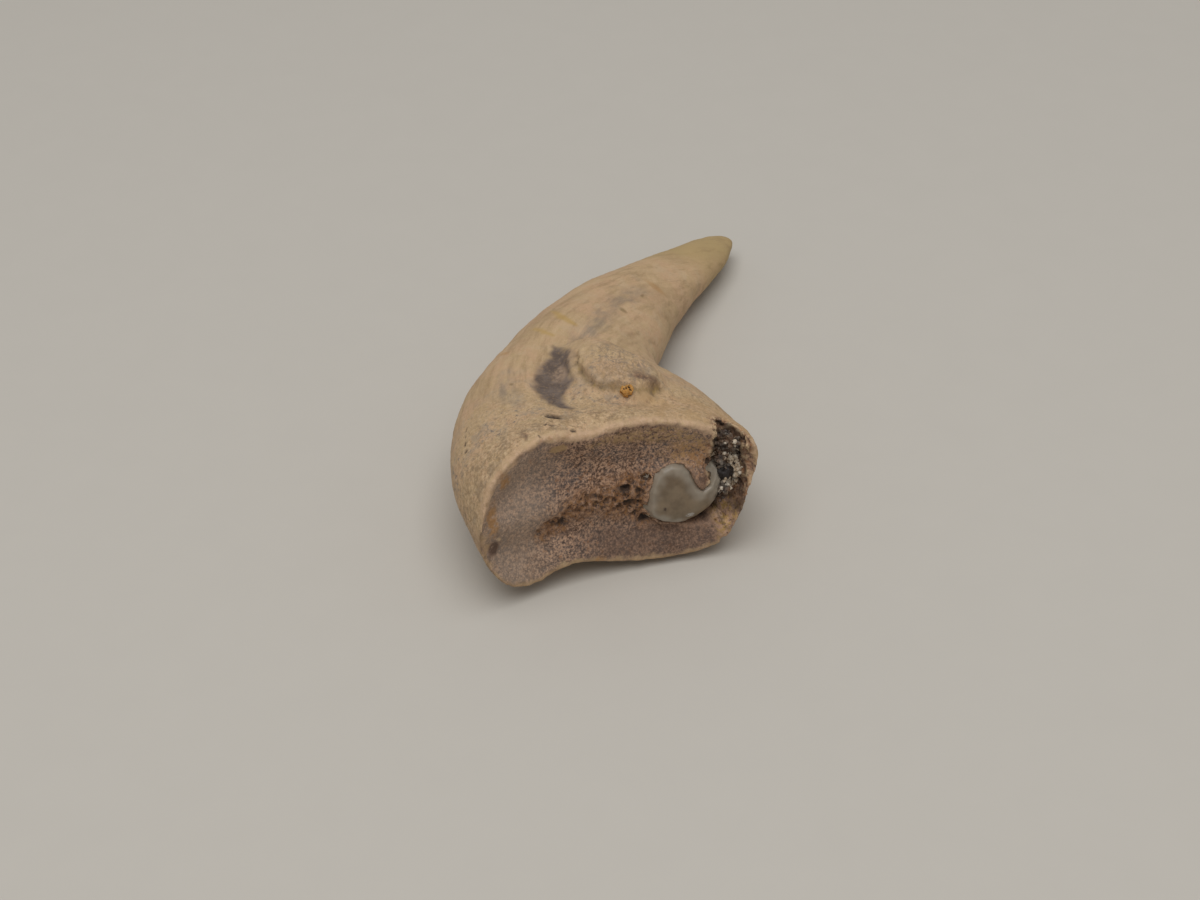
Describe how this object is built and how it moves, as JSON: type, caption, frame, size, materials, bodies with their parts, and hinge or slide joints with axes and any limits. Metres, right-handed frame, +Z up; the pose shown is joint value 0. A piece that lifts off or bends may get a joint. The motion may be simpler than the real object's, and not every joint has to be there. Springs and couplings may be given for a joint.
{
  "type": "dinosaur fossil claw",
  "caption": "Curved fossil hand claw of a small theropod, lying on its flank, with a dished joint face, a flank boss, a lodged quartz pebble and a broken corner lined with crystals.",
  "frame": {"origin": "centre of the bounding box, on the surface that the claw lies on", "axes": "+X from the joint end towards the tip, +Z up through the flank that faces up"},
  "size_m": [0.0432, 0.0206, 0.011],
  "materials": {
    "fossil_bone": "dry fossil bone, tan with grey and brown stains, granular on the joint face",
    "quartz": "grey-green translucent pebble with a soft gloss",
    "calcite": "small whitish and dark crystals",
    "ochre": "dull orange-yellow ochre"
  },
  "bodies": {
    "root": {"claw": "fossil_bone", "quartz_pebble": "quartz", "calcite_crust": "calcite", "ochre_crumb": "ochre"}
  },
  "joints": []
}
